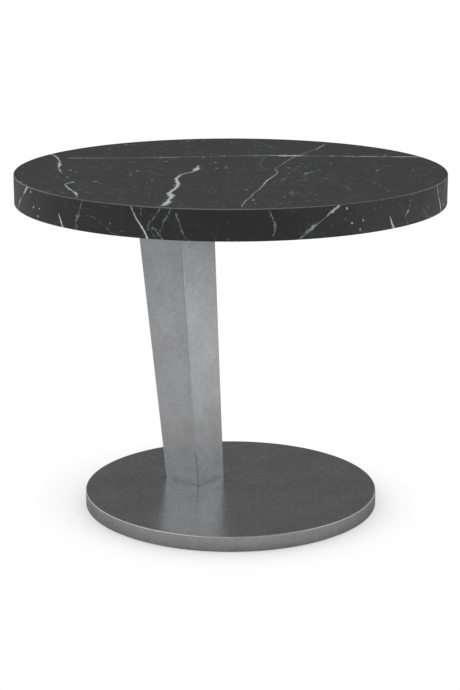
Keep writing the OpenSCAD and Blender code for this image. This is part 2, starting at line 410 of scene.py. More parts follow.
def vein(graph, place, points, ragged, softness):
    """How much of a vein shows at a place, from 0 to 1.

    place holds millimetres in x and y. ragged scales the vein's width, and softness is its blurred share.
    """
    start, end = Vector(points[0][:2]), Vector(points[-1][:2])
    length = (end - start).length
    along = (end - start) / length
    across = Vector((-along.y, along.x))
    steps = [Vector(point[:2]) - start for point in points]
    at = [step.dot(along) / length for step in steps]
    offsets = [step.dot(across) for step in steps]
    reach = 2.4 * max(abs(offset) for offset in offsets) + 1
    widest = 1.1 * max(point[2] for point in points)
    strongest = 1.1 * max(point[3] for point in points)
    mapping = graph.add(
        "ShaderNodeMapping",
        {
            "Vector": place,
            "Location": (start.x, start.y, 0),
            "Rotation": (0, 0, math.atan2(along.y, along.x)),
            "Scale": (length, 1, 1),
        },
        vector_type="TEXTURE",
    )
    local = graph.split(mapping.outputs[0])
    bend = graph.curve(local["X"], [(x, offset / reach + 0.5) for x, offset in zip(at, offsets)])
    centre = graph.math("MULTIPLY_ADD", bend, reach, -reach / 2)
    distance = graph.math("ABSOLUTE", graph.math("SUBTRACT", local["Y"], centre))
    half = graph.curve(local["X"], [(x, point[2] / widest) for x, point in zip(at, points)])
    half = graph.math("MULTIPLY", half, ragged)
    inner = graph.math("MULTIPLY", half, widest * (1 - softness))
    outer = graph.math("MULTIPLY", half, widest * (1 + softness))
    core = graph.remap(distance, inner, outer, 1, 0, smooth=True)
    power = graph.curve(local["X"], [(x, point[3] / strongest) for x, point in zip(at, points)])
    from_middle = graph.math("ABSOLUTE", graph.math("SUBTRACT", local["X"], 0.5))
    ends = graph.remap(from_middle, 0.49, 0.505, strongest, 0)
    return graph.math("MULTIPLY", graph.math("MULTIPLY", core, power), ends)


def fleck(graph, place, x, y, radius, strength):
    """A small soft crystal at x, y."""
    far = graph.vector_math("LENGTH", graph.vector_math("SUBTRACT", place, (x, y, 0)))
    return graph.remap(far, radius * 0.3, radius * 1.2, strength, 0, smooth=True)


def hairlines(graph, place, size, width, patch, cover, seed):
    """Fine wandering lines that come and go in patches."""
    moved = graph.vector_math("ADD", place, (seed * 311, seed * 173, seed * 97))
    field = graph.noise(moved, size, 2, 0.55)
    from_level = graph.math("ABSOLUTE", graph.math("SUBTRACT", field, 0.5))
    line = graph.remap(from_level, 0, width, 1, 0, smooth=True)
    mask = graph.remap(graph.noise(moved, patch, 3, 0.6), cover, cover + 0.12, smooth=True)
    return graph.math("MULTIPLY", line, mask)


def along_edge(points):
    """Points whose first value is an angle, with that angle turned into millimetres round the edge."""
    return [(angle * EDGE_MM_PER_DEGREE, *rest) for angle, *rest in points]


def strongest_of(graph, masks):
    total = 0.0
    for mask in masks:
        total = graph.math("MAXIMUM", total, mask)
    return total


def black_marble():
    """Honed black marble with white, blue-grey and green veins, hairlines and specks, a painted highlight on
    the arris, and an edge painted lighter than the top as painted light.
    """
    graph = Graph("black_marble")
    place = graph.millimetres()
    waver = graph.vector_math("SUBTRACT", graph.noise(place, 16, 3, colour=True), (0.5, 0.5, 0.5))
    ragged = graph.vector_math("SUBTRACT", graph.noise(place, 5, 3, 0.65, colour=True), (0.5, 0.5, 0.5))
    jagged = graph.vector_math("SUBTRACT", graph.noise(place, 9, 2, 0.5, colour=True), (0.5, 0.5, 0.5))
    parts = graph.split(place)
    angle = graph.math("DEGREES", graph.math("ARCTAN2", parts["Y"], parts["X"]))
    quarter = graph.math("FLOORED_MODULO", angle, QUARTER_TURN)
    round_the_edge = graph.math("MULTIPLY", quarter, EDGE_MM_PER_DEGREE)

    def disturbed(wide, fine, zigzag):
        """The place on the top, and the place along the edge, pushed about by the three noises (mm)."""
        push = graph.vector_math("ADD", graph.scaled(waver, wide), graph.scaled(ragged, fine))
        push = graph.split(graph.vector_math("ADD", push, graph.scaled(jagged, zigzag)))
        on_face = graph.join(
            graph.math("ADD", parts["X"], push["X"]), graph.math("ADD", parts["Y"], push["Y"]), 0.0
        )
        on_rim = graph.join(
            graph.math("ADD", round_the_edge, graph.math("MULTIPLY", push["X"], 0.5)),
            graph.math("ADD", parts["Z"], graph.math("MULTIPLY", push["Z"], 0.5)),
            0.0,
        )
        return on_face, on_rim

    bold = disturbed(6.0, 1.4, 0.0)
    broken = disturbed(6.0, 14.0, 20.0)
    on_top = graph.math("GREATER_THAN", parts["Z"], TOP_HEIGHT - 0.3 * ARRIS)
    radius = graph.vector_math("LENGTH", graph.join(parts["X"], parts["Y"], 0.0))
    outside = graph.math("GREATER_THAN", radius, TOP_RADIUS - 2 * ARRIS)
    on_edge = graph.math("MULTIPLY", outside, graph.math("SUBTRACT", 1.0, on_top))

    uneven = graph.remap(graph.noise(place, 6, 3, 0.65), 0.32, 0.66, 0.45, 1.45)
    beaded = graph.remap(graph.noise(place, 4.5, 2, 0.6), 0.38, 0.62, 0.1, 1.8)
    wear = graph.remap(graph.noise(place, 7, 4, 0.7), 0.34, 0.62, 0.45, 1.0)
    dashes = graph.remap(graph.noise(place, 19, 2, 0.5), 0.40, 0.56, 0.45, 1.35)
    clouds = graph.remap(graph.noise(place, 110, 4, 0.6), 0.3, 0.7)
    darker, lighter = ([part * factor for part in MARBLE_BASE] for factor in (0.94, 1.06))
    colour = graph.mix(clouds, darker, lighter)
    # Painted light: the plain stone is painted lighter on the upright edge than on the top.
    colour = graph.scaled(colour, graph.remap(on_edge, 0, 1, 1, EDGE_PAINTED_LIGHTER))

    bedding = graph.add(
        "ShaderNodeMapping",
        {"Vector": place, "Rotation": (0, 0, -BEDDING_ANGLE), "Scale": (0.22, 1, 1)},
    )
    along_bed = graph.vector_math("ADD", bedding.outputs[0], graph.scaled(ragged, 5.0))
    for size, low, patch, cover, strength in BEDDING_STREAKS:
        streaks = graph.remap(graph.noise(along_bed, size, 2, 0.6), low, low + 0.05, smooth=True)
        patches = graph.remap(graph.noise(place, patch, 3, 0.6), cover, cover + 0.06, smooth=True)
        shown = graph.math("MULTIPLY", graph.math("MULTIPLY", streaks, patches), strength)
        colour = graph.mix(shown, colour, WISP_GREEN)

    loose = graph.vector_math("ADD", place, graph.scaled(ragged, 9.0))
    wisps = strongest_of(
        graph,
        [
            hairlines(graph, loose, 60, 0.012, 90, 0.50, 1),
            hairlines(graph, loose, 26, 0.016, 50, 0.56, 3),
        ],
    )
    faint = graph.math("MULTIPLY", wear, 0.6)
    colour = graph.mix(graph.math("MULTIPLY", wisps, faint), colour, WISP_GREEN)
    for size, share, strength in SPECKS:
        near, cell = graph.spots(loose, size)
        chosen = graph.math("GREATER_THAN", graph.split(cell)["X"], share)
        speck = graph.remap(near, 1.2 / size, 2.6 / size, strength, 0, smooth=True)
        speck = graph.math("MULTIPLY", speck, graph.remap(on_edge, 0, 1, 1, EDGE_SPECKS))
        colour = graph.mix(graph.math("MULTIPLY", speck, chosen), colour, VEIN_WHITE)

    for tint, edge_tint in VEIN_TINTS:
        green = tint is WISP_GREEN
        width = beaded if green else uneven
        top_place, edge_place = broken if green else bold
        tops = [vein(graph, top_place, points, width, 0.45) for shade, points in TOP_VEINS if shade is tint]
        edges = [
            vein(graph, edge_place, along_edge(points), width, 0.5)
            for shade, points in EDGE_VEINS
            if shade is edge_tint
        ]
        if tint is VEIN_WHITE:
            tops += [fleck(graph, top_place, *one) for one in TOP_FLECKS]
            edges += [fleck(graph, edge_place, *one) for one in along_edge(EDGE_FLECKS)]
        across_top = strongest_of(graph, tops)
        if tint is VEIN_BLUE:
            across_top = graph.math("MULTIPLY", across_top, dashes)
        shown = graph.math(
            "ADD",
            graph.math("MULTIPLY", across_top, on_top),
            graph.math("MULTIPLY", strongest_of(graph, edges), on_edge),
        )
        unworn = graph.math("MAXIMUM", wear, graph.remap(shown, 0.5, 1.0))
        worn = graph.math("MULTIPLY", shown, unworn, clamp=True)
        # Painted light: on the edge each vein takes its lighter edge colour.
        colour = graph.mix(worn, colour, graph.mix(on_edge, tint, edge_tint))

    # Painted highlight: the rounded arris is painted paler than the stone.
    rounding = graph.on_arris(graph.facing_up(), 0.10, 0.45, 0.88)
    colour = graph.mix(graph.math("MULTIPLY", rounding, 0.9), colour, ARRIS_PAINTED_HIGHLIGHT)
    rough = graph.remap(graph.noise(place, 30, 4, 0.6), 0.3, 0.7, 0.34, 0.42)
    height = graph.noise(place, 3, 3, 0.6)
    return graph.surface(
        Base_Color=colour,
        Roughness=rough,
        Specular_IOR_Level=MARBLE_SPECULAR,
        Normal=graph.bump(height, 0.01, 0.4),
    )


# ---------------------------------------------------------------- steel

# The colour of the steel's rounded arris: a painted highlight, paler than the steel. The arris is also
# rougher.
STEEL_ARRIS_HIGHLIGHT = (0.80, 0.80, 0.81)
ARRIS_ROUGHER = 0.25
# The painted shade round the column's foot: how far it reaches (mm) and how much it darkens the steel.
FOOT_SHADE_REACH = 16
FOOT_SHADE_DARKER = 0.15


def satin_steel():
    """Hand-rubbed satin steel: clouds, crossed strokes, a sandy grain, a painted highlight on the arris, and
    painted shade round the column's foot.
    """
    graph = Graph("satin_steel")
    place = graph.millimetres()
    clouds = graph.centred(graph.noise(place, 60, 4, 0.6))
    mottle = graph.centred(graph.noise(place, 14, 3, 0.6))
    strokes = graph.strokes(place, 3.0, 0.30, (0.7, -0.8))
    grain = graph.centred(graph.noise(place, 2.9, 3, 0.7))
    shade = graph.math("MULTIPLY_ADD", clouds, 0.20, 0.5)
    shade = graph.math("MULTIPLY_ADD", mottle, 0.13, shade)
    shade = graph.math("MULTIPLY_ADD", strokes, 0.07, shade)
    shade = graph.math("MULTIPLY_ADD", grain, 0.34, shade)
    speckle = graph.centred(graph.noise(place, 5, 2, 0.7))
    facing_up = graph.facing_up()
    level = graph.remap(facing_up, 0.90, 0.99, 0, 0.5)
    shade = graph.math("MULTIPLY_ADD", speckle, level, shade, clamp=True)
    colour = graph.mix(shade, (0.470, 0.475, 0.488), (0.715, 0.721, 0.736))
    arris = graph.on_arris(facing_up, 0.05, 0.30, 0.90)
    # Painted highlight: the rounded arris is painted paler.
    colour = graph.mix(arris, colour, STEEL_ARRIS_HIGHLIGHT)
    parts = graph.split(place)
    # Painted shade: the base top is painted darker close round the column's foot.
    beside = graph.math("ABSOLUTE", graph.math("SUBTRACT", parts["X"], FOOT_CENTRE))
    from_middle = graph.math("MAXIMUM", beside, graph.math("ABSOLUTE", parts["Y"]))
    foot_edge = FOOT_SIDE / 2
    foot_shade = graph.remap(from_middle, foot_edge, foot_edge + FOOT_SHADE_REACH, FOOT_SHADE_DARKER, 0, smooth=True)
    foot_shade = graph.math("MULTIPLY", foot_shade, graph.remap(facing_up, 0.90, 0.99))
    colour = graph.scaled(colour, graph.math("SUBTRACT", 1.0, foot_shade))
    rough = graph.remap(clouds, -1.0, 1.0, 0.235, 0.265)
    rough = graph.math("MULTIPLY_ADD", arris, ARRIS_ROUGHER, rough)
    return graph.surface(
        Base_Color=colour, Metallic=1.0, Roughness=rough, Normal=graph.bump(grain, 0.003, 0.3)
    )


# ---------------------------------------------------------------- materials of the hidden parts


def core_plywood():
    """Birch plywood: long wavy grain and short pores on its faces, plies on its edge."""
    graph = Graph("core_plywood")
    place = graph.millimetres()
    stretched = graph.add("ShaderNodeMapping", {"Vector": place, "Scale": (0.06, 1, 1)}).outputs[0]
    figure = graph.noise(stretched, 9, 4, 0.6, Distortion=0.8)
    lines = graph.math("PINGPONG", graph.math("MULTIPLY", figure, 6.0), 0.5)
    pores = graph.remap(graph.noise(stretched, 0.8, 2, 0.6), 0.62, 0.70)
    tone = graph.mix(graph.math("MULTIPLY", lines, 1.2), (0.47, 0.33, 0.20), (0.60, 0.46, 0.30))
    tone = graph.mix(graph.math("MULTIPLY", pores, 0.5), tone, (0.25, 0.16, 0.09))
    ply = graph.math("PINGPONG", graph.math("DIVIDE", graph.split(place)["Z"], 1.4), 1.0)
    facing = graph.math("ABSOLUTE", graph.facing_up())
    on_side = graph.remap(facing, 0.3, 0.7, 1, 0)
    dark_ply = graph.math("MULTIPLY", graph.remap(ply, 0.4, 0.6), on_side)
    tone = graph.mix(graph.math("MULTIPLY", dark_ply, 0.6), tone, (0.30, 0.19, 0.11))
    height = graph.math("SUBTRACT", lines, pores)
    rough = graph.remap(lines, 0.0, 0.5, 0.52, 0.66)
    return graph.surface(Base_Color=tone, Roughness=rough, Normal=graph.bump(height, 0.08, 0.5))


def black_steel():
    """Black powder coat: fine orange peel and a little dust."""
    graph = Graph("black_steel")
    place = graph.millimetres()
    peel = graph.noise(place, 1.4, 2, 0.5)
    dust = graph.remap(graph.noise(place, 22, 5, 0.7), 0.5, 0.75)
    tone = graph.mix(dust, (0.016, 0.016, 0.017), (0.045, 0.044, 0.042))
    rough = graph.remap(dust, 0.0, 1.0, 0.38, 0.58)
    return graph.surface(Base_Color=tone, Roughness=rough, Normal=graph.bump(peel, 0.05, 0.5))


def bare_steel():
    """Machined steel with its oil film: fine tool lines and darker patches."""
    graph = Graph("bare_steel")
    place = graph.millimetres()
    lines = graph.strokes(place, 0.7, 0.04, (0.0,))
    stain = graph.remap(graph.noise(place, 15, 5, 0.65), 0.42, 0.68)
    tone = graph.mix(stain, (0.46, 0.46, 0.47), (0.26, 0.24, 0.22))
    rough = graph.remap(stain, 0.0, 1.0, 0.30, 0.48)
    relief = graph.bump(lines, 0.01, 0.4)
    return graph.surface(Base_Color=tone, Metallic=1.0, Roughness=rough, Normal=relief)


def zinc_steel():
    """Bright zinc plating: a faint blue bloom and tiny pits."""
    graph = Graph("zinc_steel")
    place = graph.millimetres()
    bloom = graph.remap(graph.noise(place, 6, 4, 0.6), 0.35, 0.65)
    pits = graph.remap(graph.noise(place, 0.6, 2, 0.6), 0.62, 0.72)
    tone = graph.mix(bloom, (0.58, 0.60, 0.64), (0.68, 0.68, 0.66))
    tone = graph.mix(graph.math("MULTIPLY", pits, 0.5), tone, (0.30, 0.30, 0.30))
    rough = graph.remap(bloom, 0.0, 1.0, 0.26, 0.38)
    relief = graph.bump(pits, -0.01, 0.5)
    return graph.surface(Base_Color=tone, Metallic=1.0, Roughness=rough, Normal=relief)


def black_screws():
    """Black oxide on hardened screws: brown-black bloom, brighter where it is rubbed."""
    graph = Graph("black_screws")
    place = graph.millimetres()
    rubbed = graph.remap(graph.noise(place, 3, 4, 0.7), 0.52, 0.72)
    tone = graph.mix(rubbed, (0.035, 0.033, 0.032), (0.115, 0.112, 0.11))
    rough = graph.remap(rubbed, 0.0, 1.0, 0.46, 0.32)
    fine = graph.noise(place, 0.5, 2, 0.6)
    relief = graph.bump(fine, 0.01, 0.4)
    return graph.surface(Base_Color=tone, Metallic=0.7, Roughness=rough, Normal=relief)


def cast_iron():
    """Painted sand casting: grainy skin, shallow dimples and a trace of rust in the low spots."""
    graph = Graph("cast_iron")
    place = graph.millimetres()
    sand = graph.noise(place, 1.1, 4, 0.7)
    dimples = graph.noise(place, 9, 3, 0.55)
    low = graph.remap(dimples, 0.32, 0.44, 1, 0)
    tone = graph.mix(sand, (0.030, 0.030, 0.031), (0.085, 0.084, 0.082))
    tone = graph.mix(graph.math("MULTIPLY", low, 0.5), tone, (0.110, 0.060, 0.034))
    height = graph.math("MULTIPLY_ADD", dimples, 2.0, sand)
    rough = graph.remap(sand, 0.3, 0.7, 0.62, 0.82)
    return graph.surface(Base_Color=tone, Roughness=rough, Normal=graph.bump(height, 0.25, 0.6))


def brass():
    """Turned brass: fine rings from the lathe tool and a dull tarnish."""
    graph = Graph("brass")
    place = graph.millimetres()
    parts = graph.split(place)
    rings = graph.math("PINGPONG", graph.math("DIVIDE", parts["Z"], 0.35), 1.0)
    tarnish = graph.remap(graph.noise(place, 5, 4, 0.65), 0.40, 0.66)
    tone = graph.mix(tarnish, (0.72, 0.54, 0.24), (0.42, 0.29, 0.13))
    rough = graph.remap(tarnish, 0.0, 1.0, 0.26, 0.46)
    relief = graph.bump(rings, 0.02, 0.4)
    return graph.surface(Base_Color=tone, Metallic=1.0, Roughness=rough, Normal=relief)


def black_rubber():
    """Moulded rubber: a matt, slightly blotched skin with grey scuffs where it meets the floor."""
    graph = Graph("black_rubber")
    place = graph.millimetres()
    blotch = graph.remap(graph.noise(place, 8, 4, 0.6), 0.35, 0.65)
    scuffs = graph.remap(graph.noise(place, 2.2, 4, 0.75), 0.58, 0.72)
    tone = graph.mix(blotch, (0.013, 0.013, 0.013), (0.024, 0.024, 0.023))
    tone = graph.mix(graph.math("MULTIPLY", scuffs, 0.5), tone, (0.075, 0.073, 0.070))
    rough = graph.remap(scuffs, 0.0, 1.0, 0.62, 0.85)
    fine = graph.noise(place, 0.5, 2, 0.6)
    return graph.surface(Base_Color=tone, Roughness=rough, Normal=graph.bump(fine, 0.03, 0.5))


def black_nylon():
    """Moulded nylon: a spark-eroded texture with a soft sheen, scuffed in places."""
    graph = Graph("black_nylon")
    place = graph.millimetres()
    texture = graph.noise(place, 0.4, 2, 0.6)
    scuffs = graph.remap(graph.noise(place, 3.5, 5, 0.75), 0.58, 0.70)
    tone = graph.mix(scuffs, (0.020, 0.020, 0.021), (0.060, 0.059, 0.057))
    rough = graph.remap(scuffs, 0.0, 1.0, 0.42, 0.62)
    return graph.surface(Base_Color=tone, Roughness=rough, Normal=graph.bump(texture, 0.02, 0.5))


finishes = (
    black_marble, satin_steel, core_plywood, black_steel, bare_steel, zinc_steel,
    black_screws, cast_iron, brass, black_rubber, black_nylon,
)
materials = {finish.__name__: finish() for finish in finishes}
slot_of = {part["node"]: part["material_slot"] for part in frame["record"]["subparts"]}

for name, node in nodes.items():
    node.data.materials.clear()
    node.data.materials.append(materials[slot_of[name]])


# ---------------------------------------------------------------- meshes

ROUND_SEGMENTS = 256
LOWER_ARRIS = 1


def arc(centre_r, centre_z, radius, start, end, steps=6):
    """Points of a profile's round corner, from the start angle to the end angle in degrees."""
    turns = [math.radians(start + (end - start) * i / steps) for i in range(steps + 1)]
    return [(centre_r + radius * math.cos(a), centre_z + radius * math.sin(a)) for a in turns]


def new_piece(name, build, body, slot_name, replaced=(), sharp=35):
    """A piece from a bmesh in millimetres, riding on body and painted with a material slot's finish.

    replaced names the CAD nodes that it stands in for. Edges above sharp degrees stay sharp.
    """
    bmesh.ops.recalc_face_normals(build, faces=build.faces)
    bmesh.ops.scale(build, vec=(MM, MM, MM), verts=build.verts)
    mesh = bpy.data.meshes.new(name)
    build.to_mesh(mesh)
    build.free()
    mesh.shade_smooth()
    mesh.set_sharp_from_angle(angle=math.radians(sharp))
    mesh.materials.append(materials[slot_name])
    piece = bpy.data.objects.new(name, mesh)
    bpy.context.scene.collection.objects.link(piece)
    flatten = piece.modifiers.new("normals", "WEIGHTED_NORMAL")
    flatten.keep_sharp = True
    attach(piece, body)
    if replaced:
        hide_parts(*replaced)


def lathe(profile):
    """A solid of revolution about the Z axis. profile is a closed loop of (radius, height)."""
    build = bmesh.new()
    rings = []
    for radius, height in profile:
        if radius == 0:
            rings.append([build.verts.new((0, 0, height))] * ROUND_SEGMENTS)
            continue
        turns = [TAU * i / ROUND_SEGMENTS for i in range(ROUND_SEGMENTS)]
        rings.append([build.verts.new((radius * math.cos(a), radius * math.sin(a), height)) for a in turns])
    for lower, upper in zip(rings, rings[1:] + rings[:1]):
        for i in range(ROUND_SEGMENTS):
            after = (i + 1) % ROUND_SEGMENTS
            corners = list(dict.fromkeys((lower[i], lower[after], upper[after], upper[i])))
            if len(corners) > 2:
                build.faces.new(corners)
    return build


slab_profile = [
    (0, SEAM_HEIGHT),
    (TOP_RADIUS, SEAM_HEIGHT),
    *arc(TOP_RADIUS - ARRIS, TOP_HEIGHT - ARRIS, ARRIS, 0, 90),
    (0, TOP_HEIGHT),
]
new_piece("stone_slab", lathe(slab_profile), "table", "black_marble", ["marble_slab"])

band_profile = [
    *arc(BAND_INNER_RADIUS + LOWER_ARRIS, EDGE_BOTTOM + LOWER_ARRIS, LOWER_ARRIS, 180, 270, 3),
    *arc(TOP_RADIUS - LOWER_ARRIS, EDGE_BOTTOM + LOWER_ARRIS, LOWER_ARRIS, 270, 360, 3),
    (TOP_RADIUS, SEAM_HEIGHT),
    (BAND_INNER_RADIUS, SEAM_HEIGHT),
]
new_piece("stone_band", lathe(band_profile), "table", "black_marble", ["marble_edge_band"])


def soften(name, width):
    """Rounds a CAD node's edges by width (mm) with modifiers, which leave its own mesh as it is."""
    node = nodes[name]
    weld = node.modifiers.new("weld", "WELD")
    weld.merge_threshold = 0.01 * MM
    bevel = node.modifiers.new("rounding", "BEVEL")
    bevel.width = width * MM
    bevel.segments = 3
    bevel.limit_method = "ANGLE"
    bevel.angle_limit = math.radians(30)
    normals = node.modifiers.new("normals", "WEIGHTED_NORMAL")
    normals.keep_sharp = False
    for polygon in node.data.polygons:
        polygon.use_smooth = True


# ---------------------------------------------------------------- column

FOOT_Z, HEAD_Z = 29, 571
# How much wider the column gets, and how far it moves along X, for each millimetre of height.
SIDE_GROWTH = 26 / 536
LEAN = -46.5 / 536
SHEET = 3
FOLD_RADIUS = 2.4
BORE_RADIUS = 0.4
FOOT_CHAMFER = 0.2


def column_outline(z, inset, radius):
    """The column's rounded square outline at a height, moved in by inset, as points in order."""
    half = (FOOT_SIDE + SIDE_GROWTH * (z - FOOT_Z)) / 2 - inset - radius
    middle = FOOT_CENTRE + LEAN * (z - FOOT_Z)
    points = []
    for corner, (x, y) in enumerate(((1, 1), (-1, 1), (-1, -1), (1, -1))):
        for px, py in arc(middle + x * half, y * half, radius, 90 * corner, 90 * corner + 90):
            points.append((px, py, z))
    return points


def ring_of_faces(build, rings):
    """Faces that join each ring of vertices to the next, and the last ring to the first."""
    count = len(rings[0])
    for lower, upper in zip(rings, rings[1:] + rings[:1]):
        for i in range(count):
            after = (i + 1) % count
            build.faces.new((lower[i], lower[after], upper[after], upper[i]))


def column():
    """The hollow casing: an outer skin with a small chamfer at its foot, and the bore inside it."""
    build = bmesh.new()
    outlines = [
        column_outline(FOOT_Z, FOOT_CHAMFER, FOLD_RADIUS - FOOT_CHAMFER),
        column_outline(FOOT_Z + FOOT_CHAMFER, 0, FOLD_RADIUS),
        column_outline(HEAD_Z, 0, FOLD_RADIUS),
        column_outline(HEAD_Z, SHEET, BORE_RADIUS),
        column_outline(FOOT_Z, SHEET, BORE_RADIUS),
    ]
    ring_of_faces(build, [[build.verts.new(point) for point in outline] for outline in outlines])
    return build


def head_weld():
    """The rippled fillet weld around the column's head, under its plate."""
    leg, ripple = 4.2, 0.4
    throat = 0.62
    clearance = 0.05
    sunk = 0.3
    beads, steps = 150, 4
    corner_width = 0.72
    outline = column_outline(HEAD_Z, 0, FOLD_RADIUS)
    middle = Vector((FOOT_CENTRE + LEAN * (HEAD_Z - FOOT_Z), 0, HEAD_Z))
    lengths = [0]
    for before, after in zip(outline, outline[1:] + outline[:1]):
        lengths.append(lengths[-1] + (Vector(after) - Vector(before)).length)
    build = bmesh.new()
    sections = []
    for i in range(steps * beads):
        far = lengths[-1] * i / (steps * beads)
        side = max(k for k in range(len(outline)) if lengths[k] <= far)
        first, second = Vector(outline[side]), Vector(outline[(side + 1) % len(outline)])
        share = (far - lengths[side]) / max(lengths[side + 1] - lengths[side], 1e-6)
        foot = first.lerp(second, share)
        outward = foot - middle
        largest = max(abs(outward.x), abs(outward.y))
        # Square to the side at most places, and at 45 degrees where the two sides meet.
        square_on = [round(part / largest * corner_width) for part in (outward.x, outward.y)]
        outward = Vector((*square_on, 0)).normalized()
        size = leg + ripple * math.cos(TAU * i / steps)
        section = [
            (clearance, clearance),
            (size, clearance),
            (size * throat, size * throat),
            (clearance, size),
        ]
        places = [foot + outward * (out - sunk) - Vector((0, 0, down)) for out, down in section]
        sections.append([build.verts.new(place) for place in places])
    ring_of_faces(build, sections)
    return build


new_piece("column_casing", column(), "table", "satin_steel", ["column_shell"], sharp=50)
new_piece("head_weld", head_weld(), "table", "black_steel", sharp=60)

# ---------------------------------------------------------------- glide studs

STUD_SEGMENTS = 48
HEXAGON_CORNER = 9.8
HEXAGON_CHAMFER = 9.0
THREAD_PITCH = 1.5
THREAD_DEPTH = 0.85
THREAD_RADIUS = 5.0
THREAD_START, THREAD_END = 12.4, 26.1
THREAD_STEPS = 56
LEAD_IN_STEPS = 4
LEAD_IN_DEPTH = 0.8

# Heights and radii of the stud's plain parts, and the radius that cuts its spanner flats' corners (mm).
BUTTON = ((3.5, 4.2), (3.8, 4.5), (5.2, 4.5), (5.5, 4.2))
NECK = ((5.5, 3.0), (7.5, 3.0))
SPANNER_FLATS = (
    (7.5, HEXAGON_CHAMFER), (8.0, HEXAGON_CORNER), (11.0, HEXAGON_CORNER), (11.5, HEXAGON_CHAMFER),
)
SHOULDER = ((11.5, 4.1), (12.2, 4.1))
TIP = ((26.5, 3.6),)


def stud(centre):
    """A levelling glide's stud: button, neck, spanner flats and a helical thread, as one closed surface."""
    turns = [TAU * i / STUD_SEGMENTS for i in range(STUD_SEGMENTS)]

    def plain_rings(places):
        return [(z, [radius] * STUD_SEGMENTS) for z, radius in places]

    def hexagon_ring(limit):
        flat = HEXAGON_CORNER * math.cos(math.pi / 6)
        return [min(limit, flat / math.cos(turn % (math.pi / 3) - math.pi / 6)) for turn in turns]

    def thread_ring(z, crest):
        radii = []
        for i in range(STUD_SEGMENTS):
            phase = (z / THREAD_PITCH - i / STUD_SEGMENTS) % 1
            # Flat at the crest and at the root, and sloping between them.
            cut = min(1, max(0, 1.35 - abs(phase - 0.5) * 3.2))
            radii.append(crest - THREAD_DEPTH * cut)
        return radii

    rings = plain_rings(BUTTON + NECK)
    rings += [(z, hexagon_ring(limit)) for z, limit in SPANNER_FLATS]
    rings += plain_rings(SHOULDER)
    for i in range(THREAD_STEPS + 1):
        z = THREAD_START + (THREAD_END - THREAD_START) * i / THREAD_STEPS
        lead_in = max(0, 1 - i / LEAD_IN_STEPS, 1 - (THREAD_STEPS - i) / LEAD_IN_STEPS)
        rings.append((z, thread_ring(z, THREAD_RADIUS - LEAD_IN_DEPTH * lead_in)))
    rings += plain_rings(TIP)
    build = bmesh.new()
    loops = []
    for z, radii in rings:
        loop = []
        for turn, radius in zip(turns, radii):
            x, y = centre[0] + radius * math.cos(turn), centre[1] + radius * math.sin(turn)
            loop.append(build.verts.new((x, y, z)))
        loops.append(loop)
    for lower, upper in zip(loops, loops[1:]):
        for i in range(STUD_SEGMENTS):
            after = (i + 1) % STUD_SEGMENTS
            build.faces.new((lower[i], lower[after], upper[after], upper[i]))
    build.faces.new(loops[0])
    build.faces.new(loops[-1])
    return build


for number in range(1, 5):
    name = f"glide_stud_{number}"
    low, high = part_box(name)
    centre = [(low[axis] + high[axis]) / 2 / MM for axis in range(2)]
    new_piece(f"threaded_stud_{number}", stud(centre), name, "zinc_steel", [name], sharp=30)

# ---------------------------------------------------------------- rounded edges of the CAD nodes that show

# The width of each node's rounded edges, in millimetres.
ROUNDINGS = {
    "head_plate": 0.8, "foot_plate": 0.8, "base_ballast": 0.6, "top_bolts": 0.35, "top_washers": 0.3,
    "base_bolts": 0.5, "base_washers": 0.3, "glide_bushes": 0.3, "top_inserts": 0.3,
}
for name, width in ROUNDINGS.items():
    soften(name, width)

# ---------------------------------------------------------------- floor, world, lights, camera

# Distances in this section are in metres.
FLOOR_HALF = 30
UNDER_BASE_RADIUS = 0.245
UNDER_BASE_GLOW = 0.45
CONTACT_REACH = 0.30
OPEN_FLOOR_GLOW = 1.012
# How bright the camera sees the floor, by the share of the space above it that is open.
CONTACT_SHADE = (
    (0.0, 0.55), (0.5, 0.72), (0.6, 0.755), (0.89, 0.895), (0.964, 0.945), (0.988, 0.972), (1.0, 1.0),
)
# The share of light the floor gives back, by the distance from the table's axis up to 1 m: lower close round
# the base as a painted shadow that the table's reflections show, and a little higher just outside it.
FLOOR_ALBEDO = ((0, 0.47), (0.267, 0.47), (0.30, 0.60), (0.345, 0.67), (0.5, 0.62), (1, 0.62))


